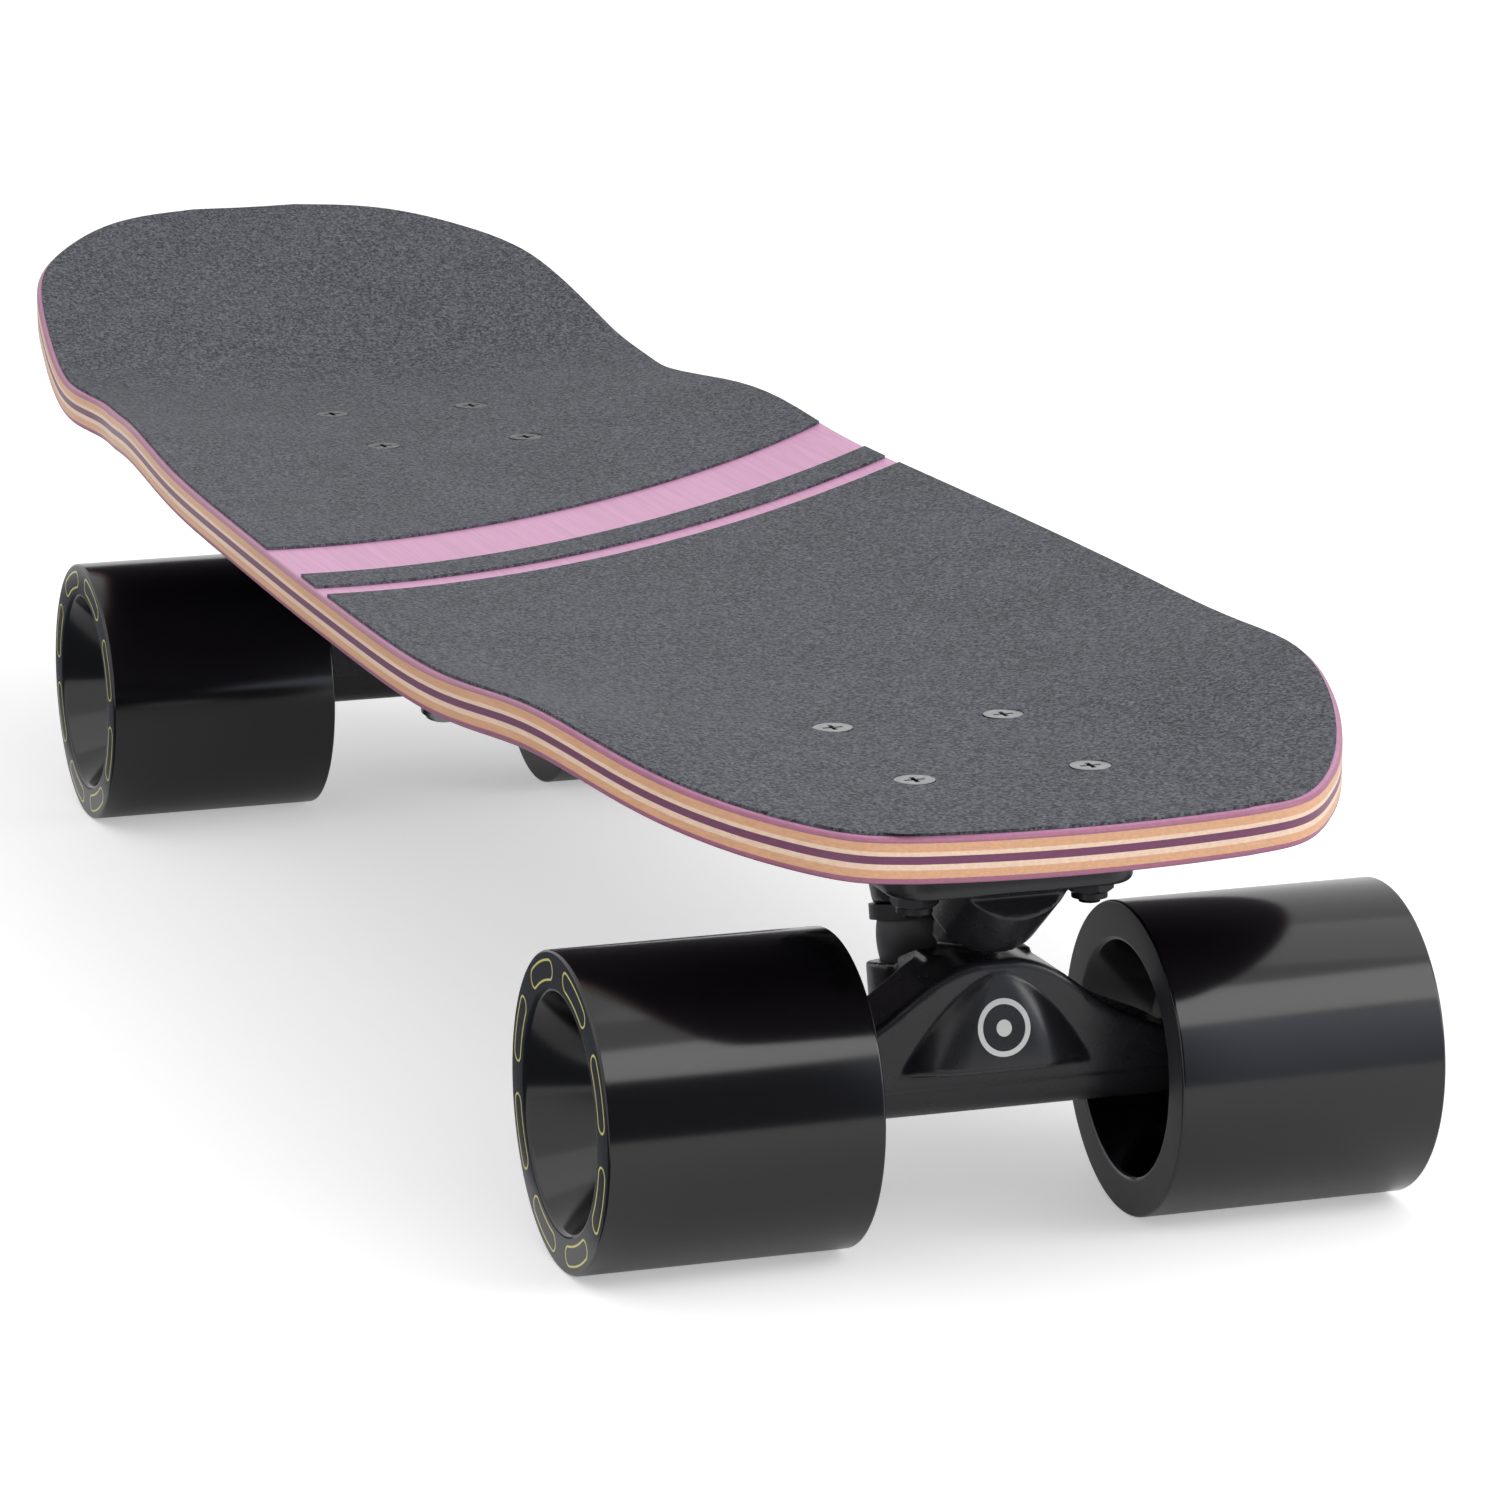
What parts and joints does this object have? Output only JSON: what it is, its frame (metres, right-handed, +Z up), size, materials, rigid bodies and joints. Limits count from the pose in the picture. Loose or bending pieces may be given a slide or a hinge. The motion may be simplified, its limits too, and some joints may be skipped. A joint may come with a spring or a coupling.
{
  "type": "cruiser skateboard",
  "caption": "Short skateboard with a kicked tail, flared concave veneer deck, striped grip tape, sprung trucks that lean to steer, and wide soft wheels on ball bearings.",
  "frame": {"origin": "on the ground, under the middle of the board's length and width", "axes": "+X along the board to the nose, +Y to the rider's left, +Z up"},
  "size_m": [0.711, 0.1982, 0.1423],
  "materials": {
    "grit_tape": "matte",
    "pink_veneer": "satin",
    "tan_veneer": "satin",
    "cream_veneer": "satin",
    "purple_veneer": "satin",
    "zinc_steel": "satin",
    "black_steel": "satin",
    "bearing_steel": "polished",
    "bearing_shield": "satin",
    "black_rubber": "matte",
    "black_urethane": "satin",
    "bushing_urethane": "satin",
    "black_casting": "satin",
    "wheel_urethane": "gloss"
  },
  "bodies": {
    "deck": {"grip_tape_rear": "grit_tape", "grip_tape_middle": "grit_tape", "grip_tape_front": "grit_tape", "veneer_1": "pink_veneer", "veneer_2": "tan_veneer", "veneer_3": "cream_veneer", "veneer_4": "purple_veneer", "veneer_5": "cream_veneer", "veneer_6": "tan_veneer", "veneer_7": "pink_veneer", "front_deck_bolts": "zinc_steel", "front_deck_nuts": "black_steel", "front_riser_pad": "black_rubber", "front_baseplate": "black_casting", "front_pivot_cup": "black_urethane", "front_kingpin": "zinc_steel", "front_kingpin_nut": "zinc_steel", "front_cup_washers": "black_steel", "front_board_side_bushing": "bushing_urethane", "front_road_side_bushing": "bushing_urethane", "rear_deck_bolts": "zinc_steel", "rear_deck_nuts": "black_steel", "rear_riser_pad": "black_rubber", "rear_baseplate": "black_casting", "rear_pivot_cup": "black_urethane", "rear_kingpin": "zinc_steel", "rear_kingpin_nut": "zinc_steel", "rear_cup_washers": "black_steel", "rear_board_side_bushing": "bushing_urethane", "rear_road_side_bushing": "bushing_urethane"},
    "front_truck": {"front_hanger": "black_casting", "front_axle": "zinc_steel", "front_axle_nuts": "zinc_steel", "front_speed_washers": "zinc_steel", "front_bearing_spacers": "zinc_steel", "front_inner_races": "bearing_steel"},
    "front_left_wheel": {"front_left_wheel": "wheel_urethane", "front_left_outer_races": "bearing_steel", "front_left_bearing_shields": "bearing_shield"},
    "front_left_balls": {"front_left_ball_sets": "bearing_steel"},
    "front_right_wheel": {"front_right_wheel": "wheel_urethane", "front_right_outer_races": "bearing_steel", "front_right_bearing_shields": "bearing_shield"},
    "front_right_balls": {"front_right_ball_sets": "bearing_steel"},
    "rear_truck": {"rear_hanger": "black_casting", "rear_axle": "zinc_steel", "rear_axle_nuts": "zinc_steel", "rear_speed_washers": "zinc_steel", "rear_bearing_spacers": "zinc_steel", "rear_inner_races": "bearing_steel"},
    "rear_left_wheel": {"rear_left_wheel": "wheel_urethane", "rear_left_outer_races": "bearing_steel", "rear_left_bearing_shields": "bearing_shield"},
    "rear_left_balls": {"rear_left_ball_sets": "bearing_steel"},
    "rear_right_wheel": {"rear_right_wheel": "wheel_urethane", "rear_right_outer_races": "bearing_steel", "rear_right_bearing_shields": "bearing_shield"},
    "rear_right_balls": {"rear_right_ball_sets": "bearing_steel"}
  },
  "joints": [
    {"name": "front_steer", "type": "hinge", "parent": "deck", "child": "front_truck", "pos_m": [0.29495, 0, 0.0775], "axis": [0.7737, 0, 0.6335], "range_deg": [-15, 15], "stiffness_Nm_per_rad": 80, "deforming": ["front_board_side_bushing", "front_road_side_bushing"]},
    {"name": "front_left_spin", "type": "hinge", "parent": "front_truck", "child": "front_left_wheel", "pos_m": [0.29095, 0.0665, 0.036], "axis": [0, 1, 0], "continuous": true},
    {"name": "front_left_ball_travel", "type": "hinge", "parent": "front_truck", "child": "front_left_balls", "pos_m": [0.29095, 0.0665, 0.036], "axis": [0, 1, 0], "continuous": true},
    {"name": "front_right_spin", "type": "hinge", "parent": "front_truck", "child": "front_right_wheel", "pos_m": [0.29095, -0.0665, 0.036], "axis": [0, 1, 0], "continuous": true},
    {"name": "front_right_ball_travel", "type": "hinge", "parent": "front_truck", "child": "front_right_balls", "pos_m": [0.29095, -0.0665, 0.036], "axis": [0, 1, 0], "continuous": true},
    {"name": "rear_steer", "type": "hinge", "parent": "deck", "child": "rear_truck", "pos_m": [-0.16695, 0, 0.0775], "axis": [-0.7737, 0, 0.6335], "range_deg": [-15, 15], "stiffness_Nm_per_rad": 80, "deforming": ["rear_board_side_bushing", "rear_road_side_bushing"]},
    {"name": "rear_left_spin", "type": "hinge", "parent": "rear_truck", "child": "rear_left_wheel", "pos_m": [-0.16295, 0.0665, 0.036], "axis": [0, 1, 0], "continuous": true},
    {"name": "rear_left_ball_travel", "type": "hinge", "parent": "rear_truck", "child": "rear_left_balls", "pos_m": [-0.16295, 0.0665, 0.036], "axis": [0, 1, 0], "continuous": true},
    {"name": "rear_right_spin", "type": "hinge", "parent": "rear_truck", "child": "rear_right_wheel", "pos_m": [-0.16295, -0.0665, 0.036], "axis": [0, 1, 0], "continuous": true},
    {"name": "rear_right_ball_travel", "type": "hinge", "parent": "rear_truck", "child": "rear_right_balls", "pos_m": [-0.16295, -0.0665, 0.036], "axis": [0, 1, 0], "continuous": true}
  ],
  "couplings": [
    {"joint": "front_left_ball_travel", "follows": "front_left_spin", "ratio": 0.6323},
    {"joint": "front_right_ball_travel", "follows": "front_right_spin", "ratio": 0.6323},
    {"joint": "rear_left_ball_travel", "follows": "rear_left_spin", "ratio": 0.6323},
    {"joint": "rear_right_ball_travel", "follows": "rear_right_spin", "ratio": 0.6323}
  ]
}
